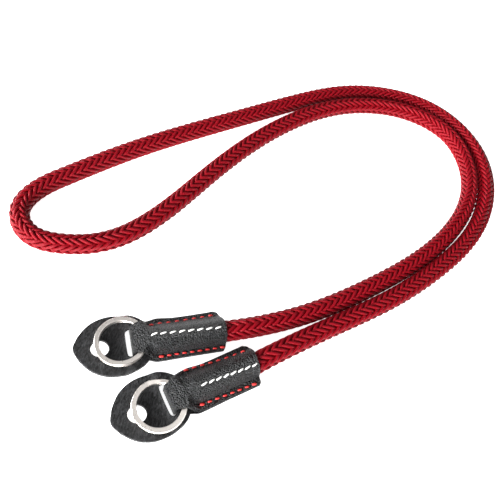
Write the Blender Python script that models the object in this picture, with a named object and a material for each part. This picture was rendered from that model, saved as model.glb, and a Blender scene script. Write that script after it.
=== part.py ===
"""Camera neck strap: one round braided rope, lying in a long loop. Each end is sewn into a folded
leather tab, which holds a split ring and a leather pad that keeps the ring off the camera."""

import math

import bmesh
import bpy
import numpy as np
from mathutils import Matrix, Vector

MM = 0.001

# Clearance between pieces that touch on the real strap
FIT = 0.3 * MM

# Rope
ROPE_DIAMETER = 8.0 * MM
ROPE_IN_TAB = 6.8 * MM
ROPE_SWELL = 8.0 * MM
ROPE_SIDES = 16
ROPE_SEGMENTS = 77
ROPE_BEND_SHARE = 60.0 * MM

# End tab: one strip of leather folded over the ring and sewn round the rope's end
TAB_LEATHER = 1.1 * MM
TAB_WIDTH = 17.2 * MM
BODY_LENGTH = 27.5 * MM
END_SEAM = 3.7 * MM
LOOP_WIDTH = 14.4 * MM
NECK_WIDTH = 11.0 * MM
FLANGE_LIFT = 1.0 * MM
FAR_FLANGE = 1.9 * MM
# 1 is the arch's own round, and more is hollower
FAR_FLANK_HOLLOW = 1.4
LOOP_EDGE = 0.35 * MM
STRIP_CROWN = 0.25 * MM

# Split ring: two flat coils of one wire
RING_DIAMETER = 20.4 * MM
RING_BAND = 2.0 * MM
COIL_HEIGHT = 1.0 * MM
COIL_GAP = 0.12 * MM
COIL_CHAMFER = 0.25 * MM
RING_SEGMENTS = 48
COIL_END_ANGLE = math.radians(16)
COIL_STEP_ANGLE = math.radians(15)

# Ring pad
PAD_LEATHER = 1.5 * MM
PAD_WIDTH = 24.9 * MM
PAD_NOSE = 17.9 * MM
PAD_TAIL = 2.0 * MM
HOLE_DIAMETER = 7.1 * MM
HOLE_OFFSET = 8.0 * MM
HOLE_SIDE = -0.3 * MM
SLIT_OFFSET = 2.0 * MM
SLIT_PLAY = 0.35 * MM
SLIT_TAPER = 0.65 * MM
PAD_RAMP = 4.6 * MM

# Sizes that follow from the ones above
ROPE_RADIUS = ROPE_DIAMETER / 2
BORE_RADIUS = ROPE_IN_TAB / 2 + FIT
BORE_HEIGHT = TAB_LEATHER + BORE_RADIUS
BODY_HEIGHT = BORE_HEIGHT + BORE_RADIUS + TAB_LEATHER
ARCH_HALF = BORE_RADIUS + 1.4 * TAB_LEATHER
FLANGE_TOP = FLANGE_LIFT + 2 * TAB_LEATHER
RING_RADIUS = RING_DIAMETER / 2
RING_INNER = RING_RADIUS - RING_BAND
RING_HEIGHT = 2 * COIL_HEIGHT + COIL_GAP

# Places along an end, measured from the ring's centre towards the rope
PAD_END = RING_RADIUS + PAD_TAIL
BODY_START = PAD_END + FIT
TAB_END = BODY_START + BODY_LENGTH
BORE_START = BODY_START + END_SEAM
ROPE_START = BORE_START + FIT

# The pad's hidden part lies on the tab's lower layer, so the ring on it leans towards its nose
PAD_RAISE = TAB_LEATHER + FIT
RING_TILT = math.atan(PAD_RAISE / (RING_RADIUS + SLIT_OFFSET))
RING_CENTRE_HEIGHT = (
    PAD_LEATHER + FIT + RING_RADIUS * math.sin(RING_TILT) + RING_HEIGHT / 2 * math.cos(RING_TILT)
)
RING_TOP = RING_CENTRE_HEIGHT + RING_RADIUS * math.tan(RING_TILT) + RING_HEIGHT / 2
LOOP_HEIGHT = RING_TOP + FIT + TAB_LEATHER

# Where the two ends lie: place on the ground, heading of the rope, how far the rope, the ring and
# the pad's nose are off the tab's middle line, the ring's turn in its loop and the fold's play
ENDS = {
    "a": {
        "place": (-20.12 * MM, 2.63 * MM),
        "heading": math.radians(29.5),
        "rope_side": -1.4 * MM,
        "ring_side": 0.25 * MM,
        "ring_turn": 0.0,
        "pad_turn": math.radians(-2.5),
        "fold_play": 0.6 * MM,
    },
    "b": {
        "place": (1.39 * MM, -14.94 * MM),
        "heading": math.radians(43.0),
        "rope_side": -0.3 * MM,
        "ring_side": -1.4 * MM,
        "ring_turn": math.radians(80.0),
        "pad_turn": 0.0,
        "fold_play": 0.0,
    },
}

# The rope's route on the ground from tab a to tab b, in mm: x, y and lift above lying flat
ROPE_ROUTE = [
    (21.7, 24.8, 0.8),
    (46.9, 43.3, 0.25),
    (69.6, 66.2, 0.06),
    (90.1, 91.7, 0.0),
    (104.6, 118.7, 0.0),
    (109.9, 144.2, 0.0),
    (105.4, 165.6, 0.0),
    (94.5, 180.0, 0.0),
    (76.1, 186.5, 0.0),
    (55.8, 183.7, 0.0),
    (32.6, 170.7, 0.0),
    (12.8, 149.0, 0.0),
    (-3.4, 122.2, 0.0),
    (-16.6, 92.3, 0.0),
    (-29.5, 62.0, 0.0),
    (-43.2, 43.5, 0.0),
    (-59.0, 35.0, 0.0),
    (-72.8, 34.3, 0.0),
    (-81.7, 43.3, 0.0),
    (-80.7, 55.0, 0.0),
    (-72.6, 68.5, 0.0),
    (-54.4, 92.7, 0.0),
    (-33.7, 116.5, 0.0),
    (-10.9, 140.7, 0.0),
    (11.6, 164.2, 0.0),
    (34.9, 184.1, 0.0),
    (59.5, 194.5, 0.0),
    (82.2, 195.0, 0.0),
    (100.8, 185.8, 0.0),
    (114.1, 167.7, 0.0),
    (118.4, 143.2, 0.0),
    (113.3, 116.6, 0.0),
    (99.1, 89.7, 0.0),
    (79.8, 64.0, 0.06),
    (57.1, 40.2, 0.25),
    (34.8, 16.4, 0.8),
]

# Pad outline: share of its length from the nose, share of its half width
PAD_SECTIONS = [
    {"along": 0.000, "width": 0.03},
    {"along": 0.010, "width": 0.12},
    {"along": 0.030, "width": 0.22},
    {"along": 0.057, "width": 0.35},
    {"along": 0.097, "width": 0.48},
    {"along": 0.154, "width": 0.64},
    {"along": 0.221, "width": 0.78},
    {"along": 0.298, "width": 0.885},
    {"along": 0.371, "width": 0.95},
    {"along": 0.448, "width": 0.99},
    {"along": 0.525, "width": 1.00},
    {"along": 0.600, "width": 0.99},
    {"along": 0.670, "width": 0.97},
    {"along": 0.735, "width": 0.935},
    {"along": 0.800, "width": 0.875},
    {"along": 0.855, "width": 0.795},
    {"along": 0.905, "width": 0.69},
    {"along": 0.950, "width": 0.56},
    {"along": 0.982, "width": 0.40},
    {"along": 1.000, "width": 0.22},
]

# Tab's loop: share of the way from the fold to the body, share of LOOP_WIDTH or, at the fold,
# of the way out from the neck, share of LOOP_HEIGHT, and share of a layer that the underside rises
LOOP_SECTIONS = [
    {"along": 0.000, "widen": 0.00, "height": 0.66, "rise": 0.85},
    {"along": 0.020, "widen": 0.03, "height": 0.79, "rise": 0.42},
    {"along": 0.065, "widen": 0.06, "height": 0.875, "rise": 0.10},
    {"along": 0.150, "widen": 0.12, "height": 0.935, "rise": 0.00},
    {"along": 0.330, "widen": 0.40, "height": 0.955, "rise": 0.00},
    {"along": 0.540, "widen": 0.75, "height": 0.98, "rise": 0.00},
    {"along": 0.760, "widen": 1.00, "height": 1.00, "rise": 0.00},
    {"along": 0.900, "widen": 1.05, "height": 0.975, "rise": 0.00},
]

# Tab's body: share of its length, of TAB_WIDTH and of BODY_HEIGHT, and how far its section has
# turned from the flat strip of the loop to the arch over the rope
BODY_SECTIONS = [
    {"along": 0.000, "width": 0.93, "height": 0.80, "arch": 0.30},
    {"along": 0.030, "width": 0.98, "height": 0.85, "arch": 0.60},
    {"along": 0.075, "width": 1.00, "height": 0.92, "arch": 0.85},
    {"along": 0.130, "width": 1.00, "height": 0.98, "arch": 1.00},
    {"along": 0.190, "width": 1.00, "height": 1.00, "arch": 1.00},
    {"along": 0.450, "width": 0.985, "height": 1.00, "arch": 1.00},
    {"along": 0.750, "width": 0.99, "height": 1.00, "arch": 1.00},
    {"along": 1.000, "width": 1.00, "height": 1.00, "arch": 1.00},
]

ARCH_STEPS = 7
BORE_SIDES = 32
HOLE_SIDES = 32


def clear_scene():
    for obj in list(bpy.data.objects):
        bpy.data.objects.remove(obj, do_unlink=True)


def make_collection(name):
    collection = bpy.data.collections.new(name)
    bpy.context.scene.collection.children.link(collection)
    return collection


def make_material(name, colour, roughness, metallic=0.0):
    material = bpy.data.materials.new(name)
    material.use_nodes = True
    shader = material.node_tree.nodes["Principled BSDF"]
    shader.inputs["Base Color"].default_value = (*colour, 1.0)
    shader.inputs["Roughness"].default_value = roughness
    shader.inputs["Metallic"].default_value = metallic
    return material


def smooth_step(share):
    share = min(max(share, 0.0), 1.0)
    return share * share * (3 - 2 * share)


def loft(name, sections):
    """A closed mesh through rings of points that all have as many points, with a flat cap at each end."""
    mesh = bmesh.new()
    rings = [[mesh.verts.new(point) for point in section] for section in sections]
    count = len(rings[0])
    for near, far in zip(rings, rings[1:]):
        for i in range(count):
            j = (i + 1) % count
            mesh.faces.new((near[i], near[j], far[j], far[i]))
    mesh.faces.new(rings[0][::-1])
    mesh.faces.new(rings[-1])
    bmesh.ops.recalc_face_normals(mesh, faces=mesh.faces)
    data = bpy.data.meshes.new(name)
    mesh.to_mesh(data)
    mesh.free()
    return data


def cut(obj, name, data):
    """Subtracts a cutter, which shares the object's parent and place."""
    cutter = bpy.data.objects.new(name, data)
    cutter.parent = obj.parent
    cutter.hide_render = True
    cutter.display_type = "WIRE"
    cutters.objects.link(cutter)
    modifier = obj.modifiers.new(name, "BOOLEAN")
    modifier.operation = "DIFFERENCE"
    modifier.object = cutter


def cylinder_mesh(name, radius, length, sides, matrix):
    mesh = bmesh.new()
    bmesh.ops.create_cone(
        mesh, cap_ends=True, segments=sides, radius1=radius, radius2=radius, depth=length, matrix=matrix
    )
    data = bpy.data.meshes.new(name)
    mesh.to_mesh(data)
    mesh.free()
    return data


def prism_mesh(name, outline, half_width):
    """An outline of (along, height) points, as wide as the tab on both sides."""
    return loft(name, [[(x, y, z) for x, z in outline] for y in (-half_width, half_width)])


def fold_inner(end):
    """Where the strip turns down inside the ring: its corners clear the ring's inner edge."""
    reach = NECK_WIDTH / 2 + abs(end["ring_side"])
    return math.sqrt(RING_INNER**2 - reach**2) - FIT - end["fold_play"]


def half_section(way, half_width, height, rise, arch, rope_side):
    """Points of one side of the tab, from its ridge over its edge to its underside. The far side
    slopes down to a narrow flange, and the near side drops to a wide one."""
    room = half_width - way * rope_side
    foot = min(ARCH_HALF, 0.9 * room)
    spread = max(room - FAR_FLANGE - foot, 0.0) if way > 0 else 0.0
    hollow = FAR_FLANK_HOLLOW if way > 0 else 1.0
    points = []
    for step in range(ARCH_STEPS + 1):
        angle = math.pi / 2 * (1 - step / ARCH_STEPS)
        y = way * rope_side + foot * math.cos(angle) + spread * (1 - math.sin(angle))
        arched = FLANGE_TOP + (height - FLANGE_TOP) * math.sin(angle) ** hollow
        crowned = height - STRIP_CROWN * (y / half_width) ** 2
        points.append((way * y, arch * arched + (1 - arch) * crowned))
    flat_end = half_width - LOOP_EDGE
    flange = arch * FLANGE_TOP + (1 - arch) * (height - STRIP_CROWN)
    lift = arch * FLANGE_LIFT
    points.append((way * flat_end, flange))
    points.append((way * half_width, flange - LOOP_EDGE))
    points.append((way * half_width, rise + lift + LOOP_EDGE))
    points.append((way * flat_end, rise + lift))
    points.append((way * 0.8 * half_width, rise + 0.55 * lift))
    points.append((way * 0.6 * half_width, rise))
    return points


def tab_section(x, half_width, height, rise, arch, rope_side):
    """A ring of points across the tab: a flat strip where arch is 0, an arch over the rope where it is 1."""
    values = (half_width, height, rise, arch, arch * rope_side)
    far_side = half_section(1, *values)
    near_side = half_section(-1, *values)
    return [(x, y, z) for y, z in far_side + near_side[:0:-1]]


def tab_mesh(end):
    sections = []
    fold_outer = fold_inner(end) - TAB_LEATHER
    loop_length = BODY_START - fold_outer
    neck = NECK_WIDTH / 2
    for row in LOOP_SECTIONS:
        half_width = neck + row["widen"] * (LOOP_WIDTH / 2 - neck)
        x = fold_outer + row["along"] * loop_length
        height = row["height"] * LOOP_HEIGHT
        sections.append(tab_section(x, half_width, height, row["rise"] * TAB_LEATHER, 0.0, 0.0))
    for row in BODY_SECTIONS:
        half_width = row["width"] * TAB_WIDTH / 2
        x = BODY_START + row["along"] * BODY_LENGTH
        height = row["height"] * BODY_HEIGHT
        sections.append(tab_section(x, half_width, height, 0.0, row["arch"], end["rope_side"]))
    return loft("end_tab", sections)


def loop_cutter(end):
    """The space between the strip's two layers, where the ring's arc and the pad's tail lie."""
    start = fold_inner(end)
    slope = math.tan(RING_TILT)
    roof_far = LOOP_HEIGHT - TAB_LEATHER
    roof_near = roof_far - (RING_RADIUS - start) * slope
    outline = [
        (start, TAB_LEATHER),
        (BODY_START, TAB_LEATHER),
        (BODY_START, roof_far - TAB_LEATHER),
        (RING_RADIUS + FIT, roof_far),
        (start, roof_near),
    ]
    return prism_mesh("loop_space", outline, TAB_WIDTH)


def bore_cutter(end):
    """The rope's seat in the tab, open at the tab's end."""
    length = TAB_END - BORE_START + TAB_LEATHER
    centre = Vector((BORE_START + length / 2, end["rope_side"], BORE_HEIGHT))
    matrix = Matrix.Translation(centre) @ Matrix.Rotation(math.pi / 2, 4, "Y")
    return cylinder_mesh("rope_bore", BORE_RADIUS, length, BORE_SIDES, matrix)


def pad_height(x):
    """Height of the pad's underside: flat under the ring, raised where the tab's lower layer is."""
    ramp_end = SLIT_OFFSET - FIT
    return PAD_RAISE * smooth_step((x - ramp_end + PAD_RAMP) / PAD_RAMP)


def pad_mesh(end):
    length = PAD_NOSE + PAD_END
    turn = Matrix.Rotation(end["pad_turn"], 3, "Z")
    sections = []
    for row in PAD_SECTIONS:
        along = -PAD_NOSE + row["along"] * length
        half_width = row["width"] * PAD_WIDTH / 2
        near, far = (turn @ Vector((along, y, 0)) for y in (-half_width, half_width))
        lower = [(point.x, point.y, pad_height(point.x)) for point in (near, far)]
        upper = [(x, y, z + PAD_LEATHER) for x, y, z in reversed(lower)]
        sections.append(lower + upper)
    return loft("ring_pad", sections)


def pad_hole_cutter():
    matrix = Matrix.Translation((-HOLE_OFFSET, HOLE_SIDE, PAD_LEATHER))
    return cylinder_mesh("pad_hole", HOLE_DIAMETER / 2, 4 * PAD_LEATHER, HOLE_SIDES, matrix)


def pad_slit_cutter(end):
    """A slot with narrowed ends, which the tab's fold passes through."""
    half_length = NECK_WIDTH / 2 + SLIT_PLAY
    slit_end = fold_inner(end) + FIT
    outline = [
        (SLIT_OFFSET, -half_length + SLIT_TAPER),
        (SLIT_OFFSET + SLIT_TAPER, -half_length),
        (slit_end, -half_length),
        (slit_end, half_length),
        (SLIT_OFFSET + SLIT_TAPER, half_length),
        (SLIT_OFFSET, half_length - SLIT_TAPER),
    ]
    levels = (-PAD_LEATHER, PAD_RAISE + 2 * PAD_LEATHER)
    return loft("pad_slit", [[(x, y, z) for x, y in outline] for z in levels])


def ring_mesh():
    """One wire of flat section in two turns, which steps up from the lower turn to the upper one."""
    step = 2 * math.pi / RING_SEGMENTS
    first = COIL_END_ANGLE
    last = 4 * math.pi - COIL_END_ANGLE
    count = round((last - first) / step)
    level = (COIL_HEIGHT + COIL_GAP) / 2
    middle = RING_RADIUS - RING_BAND / 2
    half_band = RING_BAND / 2
    half_height = COIL_HEIGHT / 2
    corner = COIL_CHAMFER
    profile = [
        (half_band, -half_height + corner),
        (half_band, half_height - corner),
        (half_band - corner, half_height),
        (-half_band + corner, half_height),
        (-half_band, half_height - corner),
        (-half_band, -half_height + corner),
        (-half_band + corner, -half_height),
        (half_band - corner, -half_height),
    ]
    sections = []
    for i in range(count + 1):
        angle = first + (last - first) * i / count
        share = (angle - 2 * math.pi + COIL_STEP_ANGLE) / (2 * COIL_STEP_ANGLE)
        z = level * (2 * smooth_step(share) - 1)
        sections.append(
            [((middle + r) * math.cos(angle), (middle + r) * math.sin(angle), z + h) for r, h in profile]
        )
    return loft("split_ring", sections)


def natural_spline(points):
    """A fine row of points along the natural cubic curve through the given ones."""
    points = np.array(points)
    knots = np.concatenate([[0.0], np.cumsum(np.linalg.norm(np.diff(points, axis=0), axis=1))])
    gaps = np.diff(knots)
    count = len(points)
    system = np.eye(count)
    slopes = np.diff(points, axis=0) / gaps[:, None]
    right = np.zeros_like(points)
    for i in range(1, count - 1):
        system[i, i - 1 : i + 2] = gaps[i - 1], 2 * (gaps[i - 1] + gaps[i]), gaps[i]
        right[i] = 6 * (slopes[i] - slopes[i - 1])
    bends = np.linalg.solve(system, right)
    fine = []
    for i in range(count - 1):
        for share in np.linspace(0, 1, 40, endpoint=False):
            ahead = share * gaps[i]
            back = gaps[i] - ahead
            fine.append(
                (bends[i] * back**3 + bends[i + 1] * ahead**3) / (6 * gaps[i])
                + (points[i] / gaps[i] - bends[i] * gaps[i] / 6) * back
                + (points[i + 1] / gaps[i] - bends[i + 1] * gaps[i] / 6) * ahead
            )
    return np.array([*fine, points[-1]])


def thinned(points, count):
    """That many of the points, closer together where the row bends: each radian of bend counts as
    ROPE_BEND_SHARE of length."""
    steps = np.diff(points, axis=0)
    lengths = np.linalg.norm(steps, axis=1)
    headings = steps / lengths[:, None]
    bends = np.linalg.norm(np.diff(headings, axis=0), axis=1)
    shares = lengths + ROPE_BEND_SHARE * np.append(bends, 0.0)
    travelled = np.concatenate([[0.0], np.cumsum(shares)])
    wanted = np.linspace(0, travelled[-1], count)
    return np.stack([np.interp(wanted, travelled, points[:, axis]) for axis in range(3)], axis=1)


def point_in_tab(end, along):
    """A point on the rope's axis in a tab, in world coordinates."""
    x, y = end["place"]
    ahead = Vector((math.cos(end["heading"]), math.sin(end["heading"])))
    across = Vector((-ahead.y, ahead.x))
    place = Vector((x, y)) + along * ahead + end["rope_side"] * across
    return (place.x, place.y, BORE_HEIGHT)


def rope_points():
    """Points along the rope, each with its radius there: the tabs' seams squeeze both ends."""
    inside = [ROPE_START + share * (TAB_END - ROPE_START) for share in (0.0, 0.35, 0.7, 1.0)]
    first = [point_in_tab(ENDS["a"], along) for along in inside]
    last = [point_in_tab(ENDS["b"], along) for along in reversed(inside)]
    free = [(x * MM, y * MM, ROPE_RADIUS + lift * MM) for x, y, lift in ROPE_ROUTE]
    fine = natural_spline(first + free + last)
    travelled = np.concatenate([[0.0], np.cumsum(np.linalg.norm(np.diff(fine, axis=0), axis=1))])
    seated = TAB_END + FIT - ROPE_START
    outside = (travelled >= seated) & (travelled <= travelled[-1] - seated)
    points = [fine[0], *thinned(fine[outside], ROPE_SEGMENTS - 1), fine[-1]]
    radii = []
    for point in points:
        from_mouth = min(np.linalg.norm(point - fine[0]), np.linalg.norm(point - fine[-1])) - seated
        swelling = smooth_step(from_mouth / ROPE_SWELL)
        radii.append(ROPE_IN_TAB / 2 + swelling * (ROPE_RADIUS - ROPE_IN_TAB / 2))
    return points, radii


def make_rope(material):
    points, radii = rope_points()
    curve = bpy.data.curves.new("rope", "CURVE")
    curve.dimensions = "3D"
    curve.bevel_depth = ROPE_RADIUS
    curve.bevel_resolution = ROPE_SIDES // 2 - 2
    curve.use_fill_caps = True
    spline = curve.splines.new("POLY")
    spline.points.add(len(points) - 1)
    for spline_point, point, radius in zip(spline.points, points, radii):
        spline_point.co = (*point, 1.0)
        spline_point.radius = radius / ROPE_RADIUS
    rope = bpy.data.objects.new("rope", curve)
    rope.data.materials.append(material)
    strap.objects.link(rope)


def add_piece(name, data, material, parent):
    piece = bpy.data.objects.new(name, data)
    data.materials.append(material)
    data.shade_smooth()
    data.set_sharp_from_angle(angle=math.radians(40))
    piece.parent = parent
    strap.objects.link(piece)
    return piece


def make_end(letter, end, materials):
    """One end of the strap, built about the ring's place and set down by an empty."""
    holder = bpy.data.objects.new("end_" + letter, None)
    holder.location = (*end["place"], 0)
    holder.rotation_euler = (0, 0, end["heading"])
    strap.objects.link(holder)
    tab = add_piece("end_tab_" + letter, tab_mesh(end), materials["tab"], holder)
    cut(tab, "loop_space_" + letter, loop_cutter(end))
    cut(tab, "rope_bore_" + letter, bore_cutter(end))
    pad = add_piece("ring_pad_" + letter, pad_mesh(end), materials["pad"], holder)
    cut(pad, "pad_hole_" + letter, pad_hole_cutter())
    cut(pad, "pad_slit_" + letter, pad_slit_cutter(end))
    ring = add_piece("split_ring_" + letter, ring_mesh(), materials["ring"], holder)
    ring.location = (0, end["ring_side"], RING_CENTRE_HEIGHT)
    ring.rotation_mode = "ZYX"
    ring.rotation_euler = (0, -RING_TILT, end["ring_turn"])


clear_scene()
strap = make_collection("camera_neck_strap")
cutters = make_collection("cutters")
materials = {
    "rope": make_material("red_braid", (0.42, 0.012, 0.028), 0.72),
    "tab": make_material("black_tab_leather", (0.022, 0.023, 0.026), 0.48),
    "pad": make_material("black_pad_leather", (0.025, 0.026, 0.029), 0.6),
    "ring": make_material("satin_nickel", (0.72, 0.68, 0.64), 0.28, 1.0),
}
make_rope(materials["rope"])
for letter, end in ENDS.items():
    make_end(letter, end, materials)
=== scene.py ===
"""Camera neck strap: a red braided rope with black leather ends and split rings, in a long loop."""

import math

import bpy
import numpy as np
from mathutils import Matrix


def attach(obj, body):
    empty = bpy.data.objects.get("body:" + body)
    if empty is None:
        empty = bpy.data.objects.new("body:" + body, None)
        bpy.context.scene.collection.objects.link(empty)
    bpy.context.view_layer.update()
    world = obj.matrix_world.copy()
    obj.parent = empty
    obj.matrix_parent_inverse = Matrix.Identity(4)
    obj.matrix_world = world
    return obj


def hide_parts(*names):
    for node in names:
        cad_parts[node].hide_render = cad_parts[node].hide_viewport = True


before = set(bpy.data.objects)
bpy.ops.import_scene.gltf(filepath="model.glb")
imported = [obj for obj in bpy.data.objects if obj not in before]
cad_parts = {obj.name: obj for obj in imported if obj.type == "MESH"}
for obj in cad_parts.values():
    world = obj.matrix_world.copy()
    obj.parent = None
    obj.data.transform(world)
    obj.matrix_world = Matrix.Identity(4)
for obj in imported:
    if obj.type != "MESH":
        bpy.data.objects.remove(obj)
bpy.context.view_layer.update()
MM = 0.001


# Camera
# The photograph looks down on the strap from its near side, with the camera turned about its own
# line of sight.
camera = bpy.data.objects.new("camera", bpy.data.cameras.new("camera"))
camera.data.lens = 46.8
camera.data.sensor_width = 36
camera.data.clip_start = 0.01
camera.location = (0.01457, -0.10229, 0.2341)
looking_down = Matrix.Rotation(math.radians(35.8), 3, "X")
rolled = Matrix.Rotation(math.radians(19.5), 3, "Z")
camera.rotation_euler = (looking_down @ rolled).to_euler()
bpy.context.scene.collection.objects.link(camera)
bpy.context.scene.camera = camera


# Rope
# A round braid of twenty-four strands of red yarn, twelve laid each way round a soft core. Each
# strand passes over three and under three, so that chevrons run along the rope. The ends are sewn,
# a little flattened, into the leather tabs.
BORE_HEIGHT = 4.8 * MM
ROPE_START = 16.5 * MM
TAB_END = 40.0 * MM
STRANDS_EACH_WAY = 12
BRAID_LEAD = 40.8 * MM
BRAID_TWIST = math.radians(21)
BRAID_RADIUS = 3.04 * MM
BRAID_RISE = 0.56 * MM
STRAND_WIDTH = 1.56 * MM
STRAND_THICKNESS = 1.5 * MM
STRAND_STEP = 0.8 * MM
BRAID_PHASE = math.radians(62)
CROSSING_SHARPNESS = 1.8
CORE_RADIUS = 2.3 * MM
FLOOR_GAP = 0.05 * MM
SQUEEZED_WIDER = 0.02
SQUEEZED_LOWER = 0.14
SQUEEZE_FADES_OVER = 9 * MM

# The two ends, each in mm about its ring's centre: u runs from the ring towards the rope, v across it
# to the left. "rope_side" and "ring_side" are what rope and ring lie beside the tab's middle line,
# "fold" and "slit" are where the leather turns down and the pad's slit begins, "climb" is where the
# leather rises from the ring to the rope, and the rest are small differences of the leather's edges.
ENDS = {
    "a": {
        "place": (-0.02012, 0.00263),
        "heading": math.radians(29.5),
        "rope_side": -1.4,
        "ring_side": 0.25,
        "ring_turn": 0.0,
        "pad_turn": math.radians(-2.5),
        "fold": 3.85,
        "slit": 2.0,
        "skew": 0.03,
        "mouth": 0.0,
        "far_edge": -0.7,
        "slit_reach": 5.85,
        "neck": 0.0,
        "climb": (8.4, 12.8),
    },
    "b": {
        "place": (0.00139, -0.01494),
        "heading": math.radians(43.0),
        "rope_side": -0.3,
        "ring_side": -1.4,
        "ring_turn": math.radians(80.0),
        "pad_turn": 0.0,
        "fold": 4.1,
        "slit": 2.7,
        "skew": 0.045,
        "mouth": 2.0,
        "far_edge": -0.8,
        "slit_reach": 6.5,
        "neck": 1.0,
        "climb": (9.6, 14.8),
    },
}

ROPE_ROUTE = [
    (0.0217, 0.0248, 0.0048),
    (0.0469, 0.0433, 0.00425),
    (0.0696, 0.0662, 0.00406),
    (0.0901, 0.0917, 0.004),
    (0.1046, 0.1187, 0.004),
    (0.1099, 0.1442, 0.004),
    (0.1054, 0.1656, 0.004),
    (0.0945, 0.1800, 0.004),
    (0.0761, 0.1865, 0.004),
    (0.0558, 0.1837, 0.004),
    (0.0326, 0.1707, 0.004),
    (0.0128, 0.1490, 0.004),
    (-0.0034, 0.1222, 0.004),
    (-0.0166, 0.0923, 0.004),
    (-0.0295, 0.0620, 0.004),
    (-0.0432, 0.0435, 0.004),
    (-0.0590, 0.0350, 0.004),
    (-0.0728, 0.0343, 0.004),
    (-0.0817, 0.0433, 0.004),
    (-0.0807, 0.0550, 0.004),
    (-0.0726, 0.0685, 0.004),
    (-0.0544, 0.0927, 0.004),
    (-0.0337, 0.1165, 0.004),
    (-0.0109, 0.1407, 0.004),
    (0.0116, 0.1642, 0.004),
    (0.0349, 0.1841, 0.004),
    (0.0595, 0.1945, 0.004),
    (0.0822, 0.1950, 0.004),
    (0.1008, 0.1858, 0.004),
    (0.1141, 0.1677, 0.004),
    (0.1184, 0.1432, 0.004),
    (0.1133, 0.1166, 0.004),
    (0.0991, 0.0897, 0.004),
    (0.0798, 0.0640, 0.00406),
    (0.0571, 0.0402, 0.00425),
    (0.0348, 0.0164, 0.0048),
]


def point_in_tab(end, along):
    """A point on the rope's middle line inside a tab."""
    x, y = end["place"]
    ahead = (math.cos(end["heading"]), math.sin(end["heading"]))
    aside = end["rope_side"] * MM
    x += along * ahead[0] - aside * ahead[1]
    y += along * ahead[1] + aside * ahead[0]
    return (x, y, BORE_HEIGHT)


def natural_spline(points):
    """A fine row of points along the natural cubic curve through the given ones."""
    points = np.array(points)
    knots = np.concatenate([[0.0], np.cumsum(np.linalg.norm(np.diff(points, axis=0), axis=1))])
    gaps = np.diff(knots)
    slopes = np.diff(points, axis=0) / gaps[:, None]
    system = np.eye(len(points))
    right = np.zeros_like(points)
    for i in range(1, len(points) - 1):
        system[i, i - 1 : i + 2] = gaps[i - 1], 2 * (gaps[i - 1] + gaps[i]), gaps[i]
        right[i] = 6 * (slopes[i] - slopes[i - 1])
    bends = np.linalg.solve(system, right)
    fine = []
    for i, gap in enumerate(gaps):
        ahead = np.linspace(0, gap, 60, endpoint=False)[:, None]
        back = gap - ahead
        cubic = (bends[i] * back**3 + bends[i + 1] * ahead**3) / (6 * gap)
        near = (points[i] / gap - bends[i] * gap / 6) * back
        far = (points[i + 1] / gap - bends[i + 1] * gap / 6) * ahead
        fine.append(cubic + near + far)
    return np.concatenate([*fine, points[-1:]])


def lengths_along(points):
    return np.concatenate([[0.0], np.cumsum(np.linalg.norm(np.diff(points, axis=0), axis=1))])


def evenly_spaced(points, count):
    travelled = lengths_along(points)
    wanted = np.linspace(0, travelled[-1], count)
    columns = [np.interp(wanted, travelled, column) for column in points.T]
    return wanted, np.stack(columns, axis=1)


def unit(rows):
    return rows / np.linalg.norm(rows, axis=1)[:, None]


def eased(share):
    share = np.clip(share, 0.0, 1.0)
    return share * share * (3 - 2 * share)


def tube_mesh(name, sections, travelled, rises):
    """One mesh of closed tubes. Each tube is a stack of rings of points, one ring at each place."""
    tubes = len(sections)
    places, sides = sections[0].shape[:2]
    points = np.concatenate([section.reshape(-1, 3) for section in sections])
    tube, i, j = np.meshgrid(np.arange(tubes), np.arange(places - 1), np.arange(sides), indexing="ij")
    near = (tube * places + i) * sides
    k = (j + 1) % sides
    faces = np.stack([near + j, near + k, near + sides + k, near + sides + j], axis=-1).reshape(-1, 4)
    first, last = travelled[i] / 0.01, travelled[i + 1] / 0.01
    low, high = tube + j / sides, tube + (j + 1) / sides
    uv = np.stack([first, low, first, high, last, high, last, low], axis=-1).ravel()
    ring = np.arange(sides)
    starts = np.arange(tubes)[:, None] * places * sides
    caps = np.concatenate([starts + ring[::-1], starts + (places - 1) * sides + ring])
    mesh = bpy.data.meshes.new(name)
    mesh.from_pydata(points.tolist(), [], faces.tolist() + caps.tolist())
    layer = mesh.uv_layers.new(name="strand")
    layer.data.foreach_set("uv", np.concatenate([uv, np.zeros(2 * caps.size)]).astype(np.float32))
    # The per-point attribute below holds painted shade for the yarn material: it is low where a strand
    # dips under others and at its edges.
    heights = mesh.attributes.new("rise", "FLOAT", "POINT")
    heights.data.foreach_set("value", np.concatenate(rises).astype(np.float32))
    mesh.shade_smooth()
    obj = bpy.data.objects.new(name, mesh)
    bpy.context.scene.collection.objects.link(obj)
    return obj


def nodes_of(name):
    material = bpy.data.materials.new(name)
    material.use_nodes = True
    tree = material.node_tree
    return material, tree, tree.nodes["Principled BSDF"]


def add_node(tree, kind, values=None, links=None):
    """A node with its socket values set, and its inputs linked from (node, output) pairs."""
    node = tree.nodes.new(kind)
    for key, value in (values or {}).items():
        if key in node.inputs:
            node.inputs[key].default_value = value
        else:
            setattr(node, key, value)
    for key, (source, output) in (links or {}).items():
        tree.links.new(source.outputs[output], node.inputs[key])
    return node


def add_ramp(tree, source, output, stops):
    ramp = add_node(tree, "ShaderNodeValToRGB", None, {"Fac": (source, output)})
    for element, (position, colour) in zip(ramp.color_ramp.elements, stops):
        element.position = position
        element.color = (*colour, 1.0)
    return ramp


def add_noise(tree, source, output, scale, detail, roughness=0.5):
    values = {"Scale": scale, "Detail": detail, "Roughness": roughness}
    return add_node(tree, "ShaderNodeTexNoise", values, {"Vector": (source, output)})


def add_bump(tree, source, output, strength, distance):
    values = {"Strength": strength, "Distance": distance}
    return add_node(tree, "ShaderNodeBump", values, {"Height": (source, output)})


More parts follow.
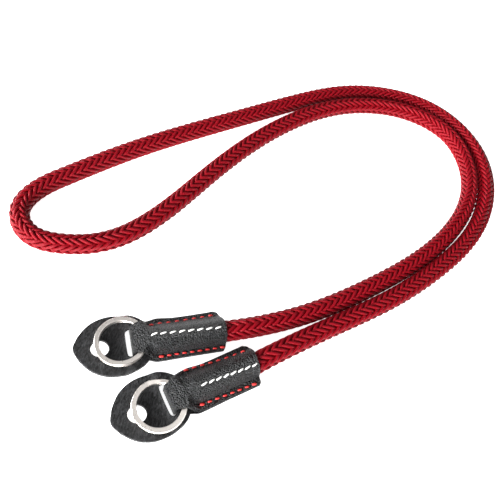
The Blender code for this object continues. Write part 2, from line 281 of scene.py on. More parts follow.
red_yarn, tree, shader = nodes_of("red_yarn")
strand_uv = add_node(tree, "ShaderNodeUVMap", {"uv_map": "strand"})
along_yarn = {"Scale": (2.6, 30.0, 1.0)}
stretched = add_node(tree, "ShaderNodeMapping", along_yarn, {"Vector": (strand_uv, "UV")})
filaments = add_noise(tree, stretched, "Vector", 1.0, 3.0, 0.6)
place = add_node(tree, "ShaderNodeTexCoord")
mottle = add_noise(tree, place, "Object", 420.0, 2.0)
# Painted shade: the mesh's shade attribute, with some random mottle added, picks the colour on the ramp.
# The ramp runs from a deeper crimson painted into the gaps, the strands' edges and their dips under
# crossings to the lit yarn colour on the ridges.
rise = add_node(tree, "ShaderNodeAttribute", {"attribute_name": "rise"})
shade = add_node(tree, "ShaderNodeMath", {"operation": "MULTIPLY_ADD"})
tree.links.new(mottle.outputs["Fac"], shade.inputs[0])
shade.inputs[1].default_value = 0.3
tree.links.new(rise.outputs["Fac"], shade.inputs[2])
yarn_colour = add_ramp(
    tree, shade, "Value", [(0.15, (0.18, 0.0006, 0.003)), (1.0, (0.17, 0.0012, 0.0055))]
)
yarn_bump = add_bump(tree, filaments, "Fac", 0.5, 0.0002)
tree.links.new(yarn_colour.outputs["Color"], shader.inputs["Base Color"])
tree.links.new(yarn_bump.outputs["Normal"], shader.inputs["Normal"])
shader.inputs["Roughness"].default_value = 0.46
shader.inputs["Specular IOR Level"].default_value = 0.26
shader.inputs["Specular Tint"].default_value = (1.0, 0.45, 0.5, 1.0)

in_tab = [ROPE_START + share * (TAB_END - ROPE_START) for share in (0.0, 0.35, 0.7, 1.0)]
route = [point_in_tab(ENDS["a"], along) for along in in_tab]
route += ROPE_ROUTE
route += [point_in_tab(ENDS["b"], along) for along in reversed(in_tab)]
rope_line = natural_spline(route)
travelled, middle = evenly_spaced(rope_line, round(lengths_along(rope_line)[-1] / STRAND_STEP))
forward = unit(np.gradient(middle, axis=0))
rope_side = unit(np.cross(forward, (0.0, 0.0, 1.0)))
rope_up = np.cross(rope_side, forward)
from_end = np.minimum(travelled, travelled[-1] - travelled)
squeezed = 1 - eased((from_end - (TAB_END - ROPE_START)) / SQUEEZE_FADES_OVER)


def flattened(points, centre, side, up, amount):
    """Points round the rope, moved towards the oval that the tab's seams squeeze it to."""
    offset = points - centre
    wide = np.sum(offset * side, axis=-1, keepdims=True) * side
    high = np.sum(offset * up, axis=-1, keepdims=True) * up
    return points + amount * (SQUEEZED_WIDER * wide - SQUEEZED_LOWER * high)


# A strand's section, from its right edge over its ridge to its left edge and underneath, and how much of
# the lit yarn colour each of these points gets: the edges and underside take the darker painted shade.
strand_profile = [(1.0, 0.0), (0.6, 0.74), (0.0, 1.0), (-0.6, 0.74), (-1.0, 0.0), (0.0, -1.0)]
painted_shade_across = np.array([0.0, 0.85, 1.0, 0.85, 0.0, 0.0])

strand_pieces = []
for name, way in (("braid_strands_right", 1), ("braid_strands_left", -1)):
    sections = []
    rises = []
    for strand in range(STRANDS_EACH_WAY):
        angle = way * 2 * math.pi * travelled / BRAID_LEAD + 2 * math.pi * strand / STRANDS_EACH_WAY
        column = angle + BRAID_TWIST * travelled / travelled[-1]
        wave = CROSSING_SHARPNESS * np.cos(4 * column + BRAID_PHASE)
        over = way * np.tanh(wave) / math.tanh(CROSSING_SHARPNESS)
        outward = np.cos(angle)[:, None] * rope_side + np.sin(angle)[:, None] * rope_up
        line = middle + (BRAID_RADIUS + BRAID_RISE * over)[:, None] * outward
        along = unit(np.gradient(line, axis=0))
        across = unit(np.cross(along, outward))
        out = np.cross(across, along)
        half_width = STRAND_WIDTH / 2 * (0.93 + 0.07 * over)
        section = [
            line + (a * half_width)[:, None] * across + b * STRAND_THICKNESS / 2 * out
            for a, b in strand_profile
        ]
        rings = np.stack(section, axis=1)
        rings[:, :, 2] = np.maximum(rings[:, :, 2], FLOOR_GAP)
        ring_centre, ring_side, ring_up = middle[:, None], rope_side[:, None], rope_up[:, None]
        sections.append(flattened(rings, ring_centre, ring_side, ring_up, squeezed[:, None, None]))
        # Painted shade: strands passing under others, and the edges of every strand, are given the
        # darker end of the yarn colour.
        rises.append(np.outer(0.5 + 0.5 * over, painted_shade_across).ravel())
    strands = tube_mesh(name, sections, travelled, rises)
    strands.data.materials.append(red_yarn)
    strand_pieces.append(strands)

core_angles = np.linspace(0, 2 * math.pi, 16, endpoint=False)
core_section = [
    middle[::4] + CORE_RADIUS * (math.cos(angle) * rope_side[::4] + math.sin(angle) * rope_up[::4])
    for angle in core_angles
]
# The core takes the darkest painted shade colour of the yarn throughout, for the shade inside the braid.
core = tube_mesh(
    "braid_core", [np.stack(core_section, axis=1)], travelled[::4], [np.zeros(16 * len(middle[::4]))]
)
core.data.materials.append(red_yarn)

for piece in (*strand_pieces, core):
    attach(piece, "strap")
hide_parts("rope")


# End tabs
# Each is one strip of black pebbled cowhide. It runs back from the rope over the split ring, folds
# down through the slit of the pad, returns underneath, and is sewn to itself along both edges and
# across the rope's end. The rope lies nearer to its near edge than to its far one.
TAB_LEATHER = 1.1
TAB_ROWS = 190
TAB_COLUMNS = 96
TAB_HALF_WIDTH = 8.6
BODY_HEIGHT = 9.6
ARCH_HALF = 5.24
FAR_FLANGE = 1.9
FLANGE_TOP = 3.2
FLANGE_LIFT = 1.0
LOW_CORNER = 0.95
RING_LEAN = math.tan(math.radians(6.5463))
RING_CENTRE_HEIGHT = 4.016
RING_HALF_HEIGHT = 1.06
RING_INNER = 8.2
RING_OUTER = 10.2
RING_TO_LEATHER = 0.1
LOOP_START = 12.5
NECK_REACH = 5.9
WALL_TOP = 3.3
CORNER_RADIUS = 1.9
SEAMS = (7.15, -7.25)
SEAM_DEPTH = 0.12
SEAM_WIDTH = 0.42

# How far along the strip its body over the rope, its loop over the ring, the slope down from the ring
# and the wall through the slit end.
BODY_SHARE = 0.36
LOOP_SHARE = 0.44
SLOPE_SHARE = 0.50
WALL_SHARE = 0.55


def followed(x, places, values, reach):
    """The listed values along x, with the corners between them rounded over reach."""
    offsets = np.linspace(-1, 1, 9)
    weights = np.cos(offsets * math.pi / 2.2) ** 2
    total = sum(w * np.interp(x + o * reach, places, values) for o, w in zip(offsets, weights))
    return total / weights.sum()


def strip_half_width(u):
    widths = (5.5, 5.6, 7.2, 8.1, 8.55, 8.45, TAB_HALF_WIDTH)
    return followed(u, (3.0, 5.0, 9.4, 12.4, 14.8, 26.0, 40.0), widths, 0.9)


def section_curve(way, rope_side):
    """Half of the section over the rope, from its ridge to the edge, as points at even steps. The
    far side slopes down gently, and the near side drops steeply to a flange."""
    room = TAB_HALF_WIDTH - way * rope_side
    spread = room - FAR_FLANGE - ARCH_HALF if way > 0 else 0.0
    hollow = 1.4 if way > 0 else 1.0
    angles = np.radians(np.linspace(90, 0, 80))
    flank_y = way * rope_side + ARCH_HALF * np.cos(angles) + spread * (1 - np.sin(angles))
    flank_z = FLANGE_TOP + (BODY_HEIGHT - FLANGE_TOP) * np.abs(np.sin(angles)) ** hollow
    edge = [(8.35, FLANGE_TOP - 0.02), (8.52, FLANGE_TOP - 0.1), (TAB_HALF_WIDTH, FLANGE_TOP - 0.28)]
    points = np.concatenate([np.stack([flank_y, flank_z], axis=1), edge])
    points = evenly_spaced(points, 200)[1]
    padded = np.pad(points, ((6, 6), (0, 0)), mode="reflect", reflect_type="odd")
    rounded = [np.convolve(padded[:, axis], np.ones(13) / 13, mode="valid") for axis in range(2)]
    return np.stack(rounded, axis=1)


for end in ENDS.values():
    end["curves"] = {way: section_curve(way, end["rope_side"]) for way in (-1, 1)}


def ring_edge(end, v):
    """Where the ring's inner edge crosses the strip, beside its middle line by v."""
    inner = RING_INNER**2 - (v - end["ring_side"]) ** 2
    return np.sqrt(np.maximum(inner, (end["fold"] + 1.0) ** 2))


def over_ring(end, u, v):
    """Height of the strip where it lies on the ring, and in the dip between ring and rope."""
    ring_top = RING_CENTRE_HEIGHT + u * RING_LEAN + RING_HALF_HEIGHT
    distance = np.hypot(u, v - end["ring_side"])
    dip = 0.9 * eased((distance - RING_OUTER - 0.05) / 2.0)
    beside = np.abs(v) / 7.2
    droop = 1.7 * eased((distance - RING_OUTER) / 2.8) * beside**3
    return ring_top + TAB_LEATHER + RING_TO_LEATHER - dip - droop - 0.1 * beside**4


def dent(u, v, start, end, depth, width):
    """A crease along a line, deepest at its middle."""
    line = np.array(end) - np.array(start)
    share = ((u - start[0]) * line[0] + (v - start[1]) * line[1]) / (line @ line)
    away = np.hypot(u - start[0] - share * line[0], v - start[1] - share * line[1])
    ends = np.clip(1 - np.abs(2 * share - 1) ** 3, 0, 1) * (np.abs(2 * share - 1) < 1)
    return -depth * np.exp(-((away / width) ** 2)) * ends


def tab_points(end, t, w, creases):
    """Points of the strip's outer side in mm: t runs along it from the mouth over the top to the
    fold and back underneath, w runs across it."""
    share = np.abs(w)
    steps = np.linspace(0, 1, 200)
    near, far = end["curves"][-1], end["curves"][1]
    arch_v = np.where(w > 0, np.interp(share, steps, far[:, 0]), -np.interp(share, steps, near[:, 0]))
    arch_z = np.where(w > 0, np.interp(share, steps, far[:, 1]), np.interp(share, steps, near[:, 1]))
    fold = end["fold"]
    mouth = TAB_END / MM

    body = t < BODY_SHARE
    loop = (t >= BODY_SHARE) & (t < LOOP_SHARE)
    slope = (t >= LOOP_SHARE) & (t < SLOPE_SHARE)
    wall = (t >= SLOPE_SHARE) & (t < WALL_SHARE)
    under = t >= WALL_SHARE
    edge_u = ring_edge(end, w * NECK_REACH)
    u = np.where(body, mouth - (mouth - LOOP_START) * t / BODY_SHARE, 0.0)
    over_loop = (t - BODY_SHARE) / (LOOP_SHARE - BODY_SHARE)
    u = np.where(loop, LOOP_START + (edge_u - LOOP_START) * over_loop, u)
    turn = np.clip((t - LOOP_SHARE) / (SLOPE_SHARE - LOOP_SHARE), 0, 1) * math.pi / 2
    u = np.where(slope, edge_u - (edge_u - fold) * np.sin(turn), u)
    down = np.clip((t - SLOPE_SHARE) / (WALL_SHARE - SLOPE_SHARE), 0, 1)
    corner = np.clip((down - 0.5) / 0.5, 0, 1) * math.pi / 2
    u = np.where(wall, fold + LOW_CORNER * (1 - np.cos(corner)), u)
    back = (t - WALL_SHARE) / (1 - WALL_SHARE)
    u = np.where(under, fold + LOW_CORNER + (mouth - fold - LOW_CORNER) * back, u)

    half_width = strip_half_width(u)
    climb_from, climb_to = end["climb"]
    arch = eased((u - climb_from) / (climb_to - climb_from)) * (body | loop)
    v = (1 - arch) * w * half_width + arch * arch_v * half_width / TAB_HALF_WIDTH
    v = v - end["neck"] * np.maximum(w, 0.0) * (1 - eased((u - 5.4) / 3.4))
    v = v + end["skew"] * np.clip(u - 28.0, -14.0, 12.0) * eased((u - 8.0) / 6.0)
    shoulder = eased((u - 8.0) / 6.0) * (1 - eased((u - 14.0) / 8.0))
    v = v - end["far_edge"] * eased(v / 8.0) * shoulder
    strip_z = over_ring(end, np.maximum(u, edge_u), v)
    z = (1 - arch) * strip_z + arch * arch_z
    z = np.where(slope, WALL_TOP + (over_ring(end, edge_u, v) - WALL_TOP) * np.cos(turn) ** 0.8, z)
    straight = WALL_TOP - (WALL_TOP - LOW_CORNER) * down / 0.5
    wall_z = np.where(down < 0.5, straight, LOW_CORNER * (1 - np.sin(corner)))
    z = np.where(wall, wall_z, z)
    lift = FLANGE_LIFT * eased((u - 12.2) / 3.0) * eased((share - 0.55) / 0.36)
    z = np.where(under, lift, z)

    round_end = np.clip(np.abs(v) - (TAB_HALF_WIDTH - CORNER_RADIUS), 0, CORNER_RADIUS)
    shorter = CORNER_RADIUS - np.sqrt(np.maximum(CORNER_RADIUS**2 - round_end**2, 0.0))
    shorter = shorter - end["mouth"] * eased((v - end["rope_side"]) / 8.0)
    shorter = shorter - 0.45 * (1 - eased((np.abs(v - end["rope_side"]) - 3.5) / 3.0)) * body
    u = u - np.where(body | under, shorter * eased((u - 34.0) / 6.0), 0.0)

    top = body | loop | slope
    sewn = eased((u - 12.6) / 0.8) * (1 - eased((u - 38.4) / 0.8))
    for seam in SEAMS:
        z = z - top * sewn * SEAM_DEPTH * np.exp(-(((v - seam) / SEAM_WIDTH) ** 2))
    for start, finish, depth, width in creases:
        z = z + top * dent(u, v, start, finish, depth, width)
    return u, v, z


def place_at_end(obj, end):
    """Turns a mesh modelled in mm about the ring's centre into its place at one end of the strap."""
    x, y = end["place"]
    where = Matrix.Translation((x, y, 0)) @ Matrix.Rotation(end["heading"], 4, "Z") @ Matrix.Scale(MM, 4)
    obj.data.transform(where)
    obj.data.update()


def apply_modifier(obj, kind, values):
    modifier = obj.modifiers.new(kind.lower(), kind)
    for key, value in values.items():
        setattr(modifier, key, value)
    bpy.context.view_layer.objects.active = obj
    bpy.ops.object.modifier_apply(modifier=modifier.name)


def finish_mesh(obj, angle):
    bpy.ops.object.select_all(action="DESELECT")
    obj.select_set(True)
    bpy.context.view_layer.objects.active = obj
    bpy.ops.object.shade_smooth_by_angle(angle=math.radians(angle))


tab_leather, tree, shader = nodes_of("black_tab_leather")
place = add_node(tree, "ShaderNodeTexCoord")
wander = add_noise(tree, place, "Object", 500.0, 2.0)
shifted = add_node(tree, "ShaderNodeVectorMath", {"operation": "MULTIPLY_ADD"})
tree.links.new(wander.outputs["Color"], shifted.inputs[0])
shifted.inputs[1].default_value = (0.0012, 0.0012, 0.0012)
tree.links.new(place.outputs["Object"], shifted.inputs[2])
pebbles = add_node(
    tree,
    "ShaderNodeTexVoronoi",
    {"feature": "SMOOTH_F1", "Scale": 1700.0, "Smoothness": 0.3},
    {"Vector": (shifted, "Vector")},
)
pores = add_noise(tree, place, "Object", 2600.0, 3.0, 0.65)
grain = add_node(tree, "ShaderNodeMath", {"operation": "MULTIPLY_ADD"})
tree.links.new(pores.outputs["Fac"], grain.inputs[0])
grain.inputs[1].default_value = 0.7
tree.links.new(pebbles.outputs["Distance"], grain.inputs[2])
grain_bump = add_bump(tree, grain, "Value", 1.0, 0.001)
grain_bump.invert = True
# Painted glints: the speckles of lighter grey in the black base colour stand in for glints on the
# pebbled grain. The same noise also varies the roughness.
gloss_and_painted_glints = add_noise(tree, place, "Object", 1300.0, 4.0, 0.75)
leather_colour = add_ramp(tree, gloss_and_painted_glints, "Fac", [(0.44, (0.0, 0.0, 0.0)), (0.62, (0.036, 0.037, 0.039))])
leather_gloss = add_node(
    tree,
    "ShaderNodeMapRange",
    {"From Min": 0.3, "From Max": 0.7, "To Min": 0.32, "To Max": 0.5},
    {"Value": (gloss_and_painted_glints, "Fac")},
)
tree.links.new(leather_colour.outputs["Color"], shader.inputs["Base Color"])
tree.links.new(leather_gloss.outputs["Result"], shader.inputs["Roughness"])
tree.links.new(grain_bump.outputs["Normal"], shader.inputs["Normal"])
shader.inputs["Specular IOR Level"].default_value = 0.34

TAB_CREASES = {
    "a": [
        ((10.2, 1.2), (15.2, -5.6), 0.42, 0.5),
        ((9.4, -4.6), (15.0, -7.0), 0.55, 0.5),
        ((10.4, 4.0), (15.0, 0.0), 0.3, 0.5),
        ((10.2, 6.0), (15.2, 5.0), 0.4, 0.5),
    ],
    "b": [
        ((10.4, 0.4), (15.6, -4.8), 0.4, 0.5),
        ((9.8, -4.2), (15.4, -6.6), 0.5, 0.5),
        ((10.0, 4.2), (15.4, 0.6), 0.3, 0.5),
        ((9.6, 6.0), (15.6, 6.0), 0.35, 0.45),
    ],
}

for letter, end in ENDS.items():
    bpy.ops.object.select_all(action="DESELECT")
    bpy.ops.mesh.primitive_grid_add(x_subdivisions=TAB_ROWS, y_subdivisions=TAB_COLUMNS, size=2)
    tab = bpy.context.object
    tab.name = "leather_tab_" + letter
    sheet = np.empty(len(tab.data.vertices) * 3)
    tab.data.vertices.foreach_get("co", sheet)
    sheet = sheet.reshape(-1, 3)
    u, v, z = tab_points(end, (sheet[:, 0] + 1) / 2, -sheet[:, 1], TAB_CREASES[letter])
    tab.data.vertices.foreach_set("co", np.stack([u, v, z], axis=1).ravel())
    tab.data.update()
    apply_modifier(tab, "SOLIDIFY", {"thickness": TAB_LEATHER, "offset": -1.0})
    rounding = {"width": 0.2, "segments": 2, "limit_method": "ANGLE", "angle_limit": math.radians(65)}
    apply_modifier(tab, "BEVEL", rounding)
    place_at_end(tab, end)
    finish_mesh(tab, 50)
    tab.data.materials.append(tab_leather)
    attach(tab, "strap")
    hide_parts("end_tab_" + letter)


# Stitches
# Thick waxed thread: a red row along each edge of a tab, which starts and ends with a knot, and a
# white row beside its ridge on the near side. Each stitch dips into its needle holes.
STITCH_ROWS = {
    "a": [
        {"thread": "red", "from": (12.4, 5.6), "to": (36.8, 7.0), "count": 8},
        {"thread": "red", "from": (14.4, -7.7), "to": (38.6, -7.3), "count": 9},
        {"thread": "white", "from": (12.2, -0.9), "to": (37.2, -1.7), "count": 8},
    ],
    "b": [
        {"thread": "red", "from": (14.9, 8.0), "to": (38.2, 6.1), "count": 8},
        {"thread": "red", "from": (15.0, -6.8), "to": (37.0, -7.2), "count": 8},
        {"thread": "white", "from": (17.3, -1.8), "to": (38.5, -2.1), "count": 8},
    ],
}
STITCH_SIZES = {"red": (1.95, 0.76, 0.64), "white": (2.85, 0.66, 0.6)}
STITCH_SLANTS = {"red": -0.1, "white": 0.26}
KNOT_GROWTH = (1.1, 1.35, 1.3)
STITCH_RAISE = 0.1


def thread_material(name, dark, light):
    material, tree, shader = nodes_of(name)
    place = add_node(tree, "ShaderNodeTexCoord")
    plies = add_noise(tree, place, "Object", 2600.0, 2.0)
    colour = add_ramp(tree, plies, "Fac", [(0.3, dark), (0.7, light)])
    bump = add_bump(tree, plies, "Fac", 0.4, 0.0001)
    tree.links.new(colour.outputs["Color"], shader.inputs["Base Color"])
    tree.links.new(bump.outputs["Normal"], shader.inputs["Normal"])
    shader.inputs["Roughness"].default_value = 0.5
    return material


def height_on_tab(end, along, aside):
    """How high the strip's top lies at a place along and beside its middle line."""
    t = np.full(400, (TAB_END / MM - along) / (TAB_END / MM - LOOP_START) * BODY_SHARE)
    v, z = tab_points(end, t, np.linspace(-1, 1, 400), [])[1:]
    return float(np.interp(aside, v, z))


threads = {
    "red": thread_material("red_thread", (0.52, 0.012, 0.012), (0.8, 0.045, 0.04)),
    "white": thread_material("white_thread", (0.78, 0.77, 0.74), (0.95, 0.94, 0.92)),
}
stitch_meshes = {}
for thread, size in STITCH_SIZES.items():
    bpy.ops.object.select_all(action="DESELECT")
    bpy.ops.mesh.primitive_uv_sphere_add(segments=12, ring_count=10, radius=0.5)
    pattern = bpy.context.object
    pattern.data.transform(Matrix.Rotation(math.pi / 2, 4, "Y"))
    pattern.data.transform(Matrix.Diagonal((*size, 1.0)))
    for vertex in pattern.data.vertices:
        reach = abs(vertex.co.x) / (size[0] / 2)
        vertex.co.y *= 1 + 0.35 * reach**2
        vertex.co.z -= 0.26 * reach**3
    stitch_meshes[thread] = pattern.data.copy()
    bpy.data.objects.remove(pattern, do_unlink=True)

for letter, end in ENDS.items():
    for thread in ("red", "white"):
        made = []
        for row in STITCH_ROWS[letter]:
            if row["thread"] != thread:
                continue
            start, finish = np.array(row["from"]), np.array(row["to"])
            heading = math.atan2(finish[1] - start[1], finish[0] - start[0])
            for i in range(row["count"]):
                along, aside = start + (finish - start) * i / (row["count"] - 1)
                z = height_on_tab(end, along, aside)
                ahead, behind = (height_on_tab(end, along + step, aside) for step in (0.5, -0.5))
                left, right = (height_on_tab(end, along, aside + step) for step in (0.3, -0.3))
                climb = math.atan2(ahead - behind, 1.0)
                lean = math.atan2(left - right, 0.6)
                knot = thread == "red" and i in (0, row["count"] - 1)
                growth = KNOT_GROWTH if knot else (1.0, 1.0, 1.0)
                stitch = bpy.data.objects.new("stitch", stitch_meshes[thread].copy())
                bpy.context.scene.collection.objects.link(stitch)
                where = (
                    Matrix.Translation((along, aside, z + STITCH_RAISE))
                    @ Matrix.Rotation(lean, 4, "X")
                    @ Matrix.Rotation(-climb, 4, "Y")
                    @ Matrix.Rotation(heading + STITCH_SLANTS[thread], 4, "Z")
                    @ Matrix.Diagonal((*growth, 1.0))
                )
                stitch.data.transform(where)
                made.append(stitch)
        bpy.ops.object.select_all(action="DESELECT")
        for stitch in made:
            stitch.select_set(True)
        bpy.context.view_layer.objects.active = made[0]
        bpy.ops.object.join()
        row_piece = bpy.context.object
        row_piece.name = thread + "_stitches_" + letter
        place_at_end(row_piece, end)
        finish_mesh(row_piece, 80)
        row_piece.data.materials.append(threads[thread])
        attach(row_piece, "strap")


# Ring pads
# A flat egg of thick black leather under each ring, cut through by a round hole and by the slit
# that the tab's fold passes. Its tail lies between the two layers of the tab.
PAD_LEATHER = 1.5
PAD_NOSE = 17.9
PAD_END = 12.2
PAD_HALF_WIDTH = 12.45
PAD_RAISE = 1.4
PAD_EDGE_CURL = 0.25
HOLE_PLACE = (-8.0, -0.3)
HOLE_RADIUS = 3.55
SLIT_CLEARANCE = 0.3

# Half of the pad's outline, from its nose to its tail, as shares of its length and half width.
PAD_OUTLINE = [
    (0.000, 0.00),
    (0.003, 0.06),
    (0.012, 0.135),
    (0.030, 0.22),
    (0.057, 0.35),
    (0.097, 0.48),
    (0.154, 0.64),
    (0.221, 0.78),
    (0.298, 0.885),
    (0.371, 0.95),
    (0.448, 0.99),
    (0.525, 1.00),
    (0.600, 0.99),
    (0.670, 0.97),
    (0.735, 0.935),
    (0.800, 0.875),
    (0.855, 0.795),
    (0.905, 0.69),
    (0.950, 0.56),
    (0.982, 0.38),
    (0.996, 0.19),
    (1.000, 0.00),
]
pad_leather, tree, shader = nodes_of("black_pad_leather")
place = add_node(tree, "ShaderNodeTexCoord")
drawn = add_node(
    tree,
    "ShaderNodeMapping",
    {"Rotation": (0.0, 0.0, math.radians(-20)), "Scale": (1.0, 0.38, 1.0)},
    {"Vector": (place, "Object")},
)
fibres = add_noise(tree, drawn, "Vector", 1500.0, 4.0, 0.7)
pad_bump = add_bump(tree, fibres, "Fac", 1.0, 0.0005)
pad_stops = [(0.4, (0.004, 0.004, 0.0042)), (0.68, (0.036, 0.037, 0.039))]
pad_colour = add_ramp(tree, fibres, "Fac", pad_stops)
tree.links.new(pad_colour.outputs["Color"], shader.inputs["Base Color"])
tree.links.new(pad_bump.outputs["Normal"], shader.inputs["Normal"])
shader.inputs["Roughness"].default_value = 0.5
shader.inputs["Specular IOR Level"].default_value = 0.2


def outline_circle(name, count, shape):
    """A circle whose points are moved onto an outline: shape turns an angle into a point."""
    bpy.ops.object.select_all(action="DESELECT")
    bpy.ops.mesh.primitive_circle_add(vertices=count, radius=1.0, fill_type="NOTHING")
    circle = bpy.context.object
    circle.name = name
    for vertex in circle.data.vertices:
        vertex.co = (*shape(math.atan2(vertex.co.y, vertex.co.x)), 0.0)
    return circle


pad_table = np.array(PAD_OUTLINE)
pad_curve = np.concatenate([pad_table, pad_table[-2::-1] * (1, -1)])
pad_curve[:, 0] = -PAD_NOSE + pad_curve[:, 0] * (PAD_NOSE + PAD_END)
pad_curve[:, 1] = pad_curve[:, 1] * PAD_HALF_WIDTH
pad_curve = natural_spline(pad_curve)
pad_steps = lengths_along(pad_curve)


def egg(angle):
    share = (math.pi - angle) / (2 * math.pi) * pad_steps[-1]
    return tuple(np.interp(share, pad_steps, pad_curve[:, axis]) for axis in range(2))


def round_hole(angle):
    x, y = HOLE_PLACE
    return (x + HOLE_RADIUS * math.cos(angle), y + HOLE_RADIUS * math.sin(angle))


for letter, end in ENDS.items():
    turn = end["pad_turn"]
    slit_middle = (end["slit"] + end["fold"] + TAB_LEATHER + SLIT_CLEARANCE) / 2
    slit_half = slit_middle - end["slit"]

    def turned_egg(angle):
        x, y = egg(angle)
        return (x * math.cos(turn) - y * math.sin(turn), x * math.sin(turn) + y * math.cos(turn))

    def slit(angle):
        """A slot with rounded ends."""
        narrowed = slit_half * (1 - abs(math.sin(angle)) ** 14) ** 0.5
        across = math.copysign(abs(math.cos(angle)) ** 0.15, math.cos(angle))
        return (slit_middle + narrowed * across, end["slit_reach"] * math.sin(angle))

    loops = [
        outline_circle("ring_pad_leather_" + letter, 128, turned_egg),
        outline_circle("pad_hole_" + letter, 40, round_hole),
        outline_circle("pad_slit_" + letter, 48, slit),
    ]
    bpy.ops.object.select_all(action="DESELECT")
    for loop in loops:
        loop.select_set(True)
    pad = loops[0]
    bpy.context.view_layer.objects.active = pad
    bpy.ops.object.join()
    bpy.ops.object.mode_set(mode="EDIT")
    bpy.ops.mesh.select_all(action="SELECT")
    bpy.ops.mesh.fill()
    for u in np.linspace(-16, 11, 28):
        bpy.ops.mesh.select_all(action="SELECT")
        bpy.ops.mesh.bisect(plane_co=(u, 0, 0), plane_no=(1, 0, 0))
    bpy.ops.mesh.select_all(action="SELECT")
    bpy.ops.mesh.normals_make_consistent(inside=False)
    bpy.ops.mesh.extrude_region_move(TRANSFORM_OT_translate={"value": (0, 0, PAD_LEATHER)})
    bpy.ops.mesh.select_all(action="SELECT")
    bpy.ops.mesh.normals_make_consistent(inside=False)
    bpy.ops.object.mode_set(mode="OBJECT")
    rounding = {"width": 0.22, "segments": 3, "limit_method": "ANGLE", "angle_limit": math.radians(60)}
    apply_modifier(pad, "BEVEL", rounding)
    for vertex in pad.data.vertices:
        raised = PAD_RAISE * float(eased((vertex.co.x - 0.2) / 4.6))
        edge_curl = PAD_EDGE_CURL * max(0.0, (-vertex.co.x - 10.0) / 8.0) ** 2
        vertex.co.z += raised + edge_curl
    place_at_end(pad, end)
    finish_mesh(pad, 40)
    pad.data.materials.append(pad_leather)
    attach(pad, "strap")
    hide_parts("ring_pad_" + letter)


# Split rings
# Flat spring-steel wire in two touching turns, nickel plated and tumbled to a satin. One end lies
# on top and the other underneath, where the wire crosses from one turn to the next.
RING_BAND = 2.0
COIL_HEIGHT = 1.0
COIL_LEVEL = 0.52
RING_CUTS = 287
COIL_END = math.radians(16)
COIL_STEP = math.radians(15)
WIRE_ROUNDING = 0.34

nickel, tree, shader = nodes_of("satin_nickel")
place = add_node(tree, "ShaderNodeTexCoord")
tumbled = add_noise(tree, place, "Object", 900.0, 4.0, 0.6)
nickel_gloss = add_node(
    tree,
    "ShaderNodeMapRange",
    {"From Min": 0.3, "From Max": 0.7, "To Min": 0.26, "To Max": 0.32},
    {"Value": (tumbled, "Fac")},
)
nickel_bump = add_bump(tree, tumbled, "Fac", 0.03, 0.0001)
tree.links.new(nickel_gloss.outputs["Result"], shader.inputs["Roughness"])
tree.links.new(nickel_bump.outputs["Normal"], shader.inputs["Normal"])
shader.inputs["Base Color"].default_value = (0.95, 0.89, 0.835, 1.0)
shader.inputs["Metallic"].default_value = 1.0

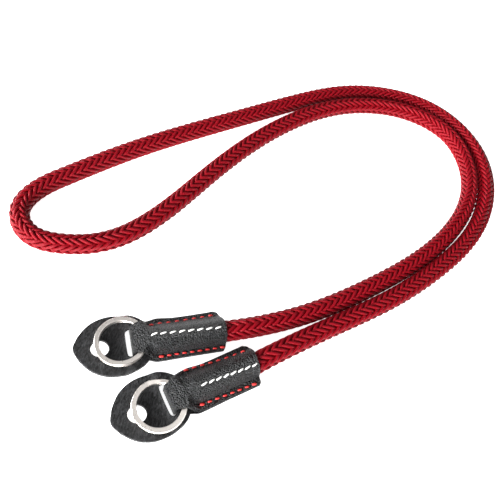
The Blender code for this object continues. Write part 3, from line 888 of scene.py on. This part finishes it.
for letter, end in ENDS.items():
    bpy.ops.object.select_all(action="DESELECT")
    bpy.ops.mesh.primitive_cube_add(size=1)
    wire = bpy.context.object
    wire.name = "split_ring_wire_" + letter
    wire.data.transform(Matrix.Diagonal((1.0, RING_BAND, COIL_HEIGHT, 1.0)))
    for edge in wire.data.edges:
        near, far = (wire.data.vertices[i].co for i in edge.vertices)
        edge.select = abs(near.x - far.x) > 0.5
    bpy.ops.object.mode_set(mode="EDIT")
    bpy.context.tool_settings.mesh_select_mode = (False, True, False)
    bpy.ops.mesh.bevel(offset=WIRE_ROUNDING, segments=4, affect="EDGES")
    bpy.ops.object.mode_set(mode="OBJECT")
    for edge in wire.data.edges:
        near, far = (wire.data.vertices[i].co for i in edge.vertices)
        edge.select = abs(near.x - far.x) > 0.5
    bpy.ops.object.mode_set(mode="EDIT")
    bpy.ops.mesh.subdivide(number_cuts=RING_CUTS)
    bpy.context.tool_settings.mesh_select_mode = (True, False, False)
    bpy.ops.object.mode_set(mode="OBJECT")
    for vertex in wire.data.vertices:
        x, y, z = vertex.co
        angle = COIL_END + (x + 0.5) * (4 * math.pi - 2 * COIL_END)
        crossing = float(eased((angle - 2 * math.pi + COIL_STEP) / (2 * COIL_STEP)))
        radius = RING_OUTER - RING_BAND / 2 - y
        level = COIL_LEVEL * (2 * crossing - 1)
        vertex.co = (radius * math.cos(angle), radius * math.sin(angle), z + level)
    tilt = math.atan(RING_LEAN)
    turned = Matrix.Rotation(-tilt, 4, "Y") @ Matrix.Rotation(end["ring_turn"], 4, "Z")
    wire.data.transform(Matrix.Translation((0, end["ring_side"], RING_CENTRE_HEIGHT)) @ turned)
    place_at_end(wire, end)
    finish_mesh(wire, 35)
    wire.data.materials.append(nickel)
    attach(wire, "ring_" + letter)
    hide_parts("split_ring_" + letter)


# Floor and light
# A plain white sweep that glows faintly, as under a light tent, with a low broad light in front, a
# weaker one from the left and one from behind.
bpy.ops.object.select_all(action="DESELECT")
bpy.ops.mesh.primitive_plane_add(size=6)
floor = bpy.context.object
floor.name = "floor"
white, tree, shader = nodes_of("white_floor")
shader.inputs["Base Color"].default_value = (0.93, 0.93, 0.93, 1.0)
shader.inputs["Roughness"].default_value = 0.9
shader.inputs["Specular IOR Level"].default_value = 0.1
shader.inputs["Emission Color"].default_value = (1.0, 1.0, 1.0, 1.0)
shader.inputs["Emission Strength"].default_value = 0.9
floor.data.materials.append(white)


def soft_light(name, place, target, size, power):
    light = bpy.data.objects.new(name, bpy.data.lights.new(name, "AREA"))
    light.data.shape = "RECTANGLE"
    light.data.size, light.data.size_y = size
    light.data.energy = power
    light.location = place
    facing = Matrix.Translation(place).to_translation() - Matrix.Translation(target).to_translation()
    light.rotation_euler = facing.to_track_quat("Z", "Y").to_euler()
    bpy.context.scene.collection.objects.link(light)


soft_light("near_light", (-0.25, -1.0, 0.3), (0.0, 0.05, 0.0), (1.0, 0.4), 44.0)
soft_light("left_light", (-1.1, -0.1, 0.35), (0.0, 0.05, 0.0), (0.4, 0.4), 26.0)
soft_light("top_light", (0.2, 0.5, 1.3), (0.0, 0.08, 0.0), (1.0, 1.0), 2.6)
world = bpy.context.scene.world or bpy.data.worlds.new("studio")
bpy.context.scene.world = world
world.use_nodes = True
world.node_tree.nodes["Background"].inputs["Color"].default_value = (1.0, 1.0, 1.0, 1.0)
world.node_tree.nodes["Background"].inputs["Strength"].default_value = 0.36
bpy.context.scene.view_settings.view_transform = "Standard"
